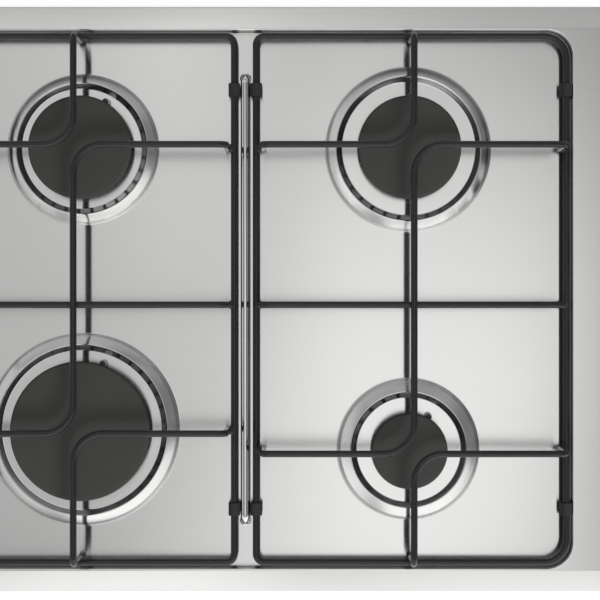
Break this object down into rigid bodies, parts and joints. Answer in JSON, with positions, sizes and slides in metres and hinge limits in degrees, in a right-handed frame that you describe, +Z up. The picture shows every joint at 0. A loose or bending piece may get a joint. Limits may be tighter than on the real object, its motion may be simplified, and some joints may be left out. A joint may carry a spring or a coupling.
{
  "type": "gas hob",
  "caption": "Built-in gas hob: pressed stainless top with a well, burners in raised dishes, lift-off black wire pan supports, chromed centre rod and a side column of control knobs",
  "frame": {"origin": "centre of the pressed top in plan, on the worktop plane that the foam seal rests on", "axes": "+X to the right along the long side, towards the control knobs; +Y to the rear; +Z up, away from the worktop"},
  "size_m": [0.59, 0.425, 0.0829],
  "materials": {
    "brushed_top": "brushed along the width, clear satin",
    "galvanised": "galvanised sheet, matt grey",
    "zinc_screw": "zinc plated",
    "chrome_rod": "polished chrome",
    "cast_aluminium": "fine cast, matt",
    "pipe_aluminium": "drawn tube",
    "brass": "machined",
    "steel_tube": "zinc plated tube",
    "ceramic": "glazed white ceramic",
    "electrode_steel": "heat-darkened steel",
    "switch_plastic": "off-white moulded",
    "black_rubber": "matt black rubber",
    "foam": "closed-cell foam strip",
    "black_enamel": "satin black enamel on steel wire",
    "cap_enamel": "matt black enamel",
    "knob_plastic": "satin black moulded"
  },
  "bodies": {
    "hob": {"hob_top": "brushed_top", "base_pan": "galvanised", "worktop_seal": "foam", "base_brackets": "galvanised", "fixing_clamps": "galvanised", "case_screws": "zinc_screw", "centre_rod": "chrome_rod", "rod_nuts": "zinc_screw", "burner_cup_rear_left": "cast_aluminium", "burner_cup_rear_right": "cast_aluminium", "burner_cup_front_right": "cast_aluminium", "burner_cup_front_left": "cast_aluminium", "burner_screws": "zinc_screw", "injectors": "brass", "spark_ceramics": "ceramic", "spark_pins": "electrode_steel", "tap_rail": "galvanised", "gas_taps": "brass", "tap_screws": "zinc_screw", "tap_clamps": "zinc_screw", "gas_manifold": "steel_tube", "gas_inlet_elbow": "brass", "gas_pipe_rear_left": "pipe_aluminium", "gas_pipe_rear_right": "pipe_aluminium", "gas_pipe_front_right": "pipe_aluminium", "gas_pipe_front_left": "pipe_aluminium", "pipe_nuts": "brass", "ignition_switches": "switch_plastic", "spark_generator": "switch_plastic", "ignition_leads": "black_rubber", "terminal_block": "switch_plastic", "cord_gland": "black_rubber", "knob_seals": "black_rubber"},
    "push_rear_left": {"switch_collar_rear_left": "switch_plastic"},
    "turn_rear_left": {"tap_spindle_rear_left": "brass", "knob_rear_left": "knob_plastic"},
    "push_rear_right": {"switch_collar_rear_right": "switch_plastic"},
    "turn_rear_right": {"tap_spindle_rear_right": "brass", "knob_rear_right": "knob_plastic"},
    "push_front_right": {"switch_collar_front_right": "switch_plastic"},
    "turn_front_right": {"tap_spindle_front_right": "brass", "knob_front_right": "knob_plastic"},
    "push_front_left": {"switch_collar_front_left": "switch_plastic"},
    "turn_front_left": {"tap_spindle_front_left": "brass", "knob_front_left": "knob_plastic"},
    "spreader_rear_left": {"flame_spreader_rear_left": "cast_aluminium"},
    "cap_rear_left": {"burner_cap_rear_left": "cap_enamel"},
    "spreader_rear_right": {"flame_spreader_rear_right": "cast_aluminium"},
    "cap_rear_right": {"burner_cap_rear_right": "cap_enamel"},
    "spreader_front_right": {"flame_spreader_front_right": "cast_aluminium"},
    "cap_front_right": {"burner_cap_front_right": "cap_enamel"},
    "spreader_front_left": {"flame_spreader_front_left": "cast_aluminium"},
    "cap_front_left": {"burner_cap_front_left": "cap_enamel"},
    "support_left": {"pan_support_left": "black_enamel", "rubber_feet_left": "black_rubber"},
    "support_right": {"pan_support_right": "black_enamel", "rubber_feet_right": "black_rubber"}
  },
  "joints": [
    {"name": "knob_push_rear_left", "type": "slide", "parent": "hob", "child": "push_rear_left", "axis": [0, 0, -1], "range_m": [0, 0.003], "stiffness_N_per_m": 1500, "springref_m": -0.004},
    {"name": "knob_turn_rear_left", "type": "hinge", "parent": "push_rear_left", "child": "turn_rear_left", "pos_m": [0.24, 0.105, 0.013], "axis": [0, 0, 1], "range_deg": [0, 210]},
    {"name": "knob_push_rear_right", "type": "slide", "parent": "hob", "child": "push_rear_right", "axis": [0, 0, -1], "range_m": [0, 0.003], "stiffness_N_per_m": 1500, "springref_m": -0.004},
    {"name": "knob_turn_rear_right", "type": "hinge", "parent": "push_rear_right", "child": "turn_rear_right", "pos_m": [0.24, 0.035, 0.013], "axis": [0, 0, 1], "range_deg": [0, 210]},
    {"name": "knob_push_front_right", "type": "slide", "parent": "hob", "child": "push_front_right", "axis": [0, 0, -1], "range_m": [0, 0.003], "stiffness_N_per_m": 1500, "springref_m": -0.004},
    {"name": "knob_turn_front_right", "type": "hinge", "parent": "push_front_right", "child": "turn_front_right", "pos_m": [0.24, -0.035, 0.013], "axis": [0, 0, 1], "range_deg": [0, 210]},
    {"name": "knob_push_front_left", "type": "slide", "parent": "hob", "child": "push_front_left", "axis": [0, 0, -1], "range_m": [0, 0.003], "stiffness_N_per_m": 1500, "springref_m": -0.004},
    {"name": "knob_turn_front_left", "type": "hinge", "parent": "push_front_left", "child": "turn_front_left", "pos_m": [0.24, -0.105, 0.013], "axis": [0, 0, 1], "range_deg": [0, 210]},
    {"name": "spreader_lift_rear_left", "type": "slide", "parent": "hob", "child": "spreader_rear_left", "axis": [0, 0, 1], "range_m": [0, 0.005]},
    {"name": "cap_lift_rear_left", "type": "slide", "parent": "spreader_rear_left", "child": "cap_rear_left", "axis": [0, 0, 1], "range_m": [0, 0.008]},
    {"name": "spreader_lift_rear_right", "type": "slide", "parent": "hob", "child": "spreader_rear_right", "axis": [0, 0, 1], "range_m": [0, 0.005]},
    {"name": "cap_lift_rear_right", "type": "slide", "parent": "spreader_rear_right", "child": "cap_rear_right", "axis": [0, 0, 1], "range_m": [0, 0.008]},
    {"name": "spreader_lift_front_right", "type": "slide", "parent": "hob", "child": "spreader_front_right", "axis": [0, 0, 1], "range_m": [0, 0.005]},
    {"name": "cap_lift_front_right", "type": "slide", "parent": "spreader_front_right", "child": "cap_front_right", "axis": [0, 0, 1], "range_m": [0, 0.008]},
    {"name": "spreader_lift_front_left", "type": "slide", "parent": "hob", "child": "spreader_front_left", "axis": [0, 0, 1], "range_m": [0, 0.005]},
    {"name": "cap_lift_front_left", "type": "slide", "parent": "spreader_front_left", "child": "cap_front_left", "axis": [0, 0, 1], "range_m": [0, 0.008]},
    {"name": "support_lift_left", "type": "slide", "parent": "hob", "child": "support_left", "axis": [0, 0, 1], "range_m": [0, 0.08]},
    {"name": "support_lift_right", "type": "slide", "parent": "hob", "child": "support_right", "axis": [0, 0, 1], "range_m": [0, 0.08]}
  ]
}
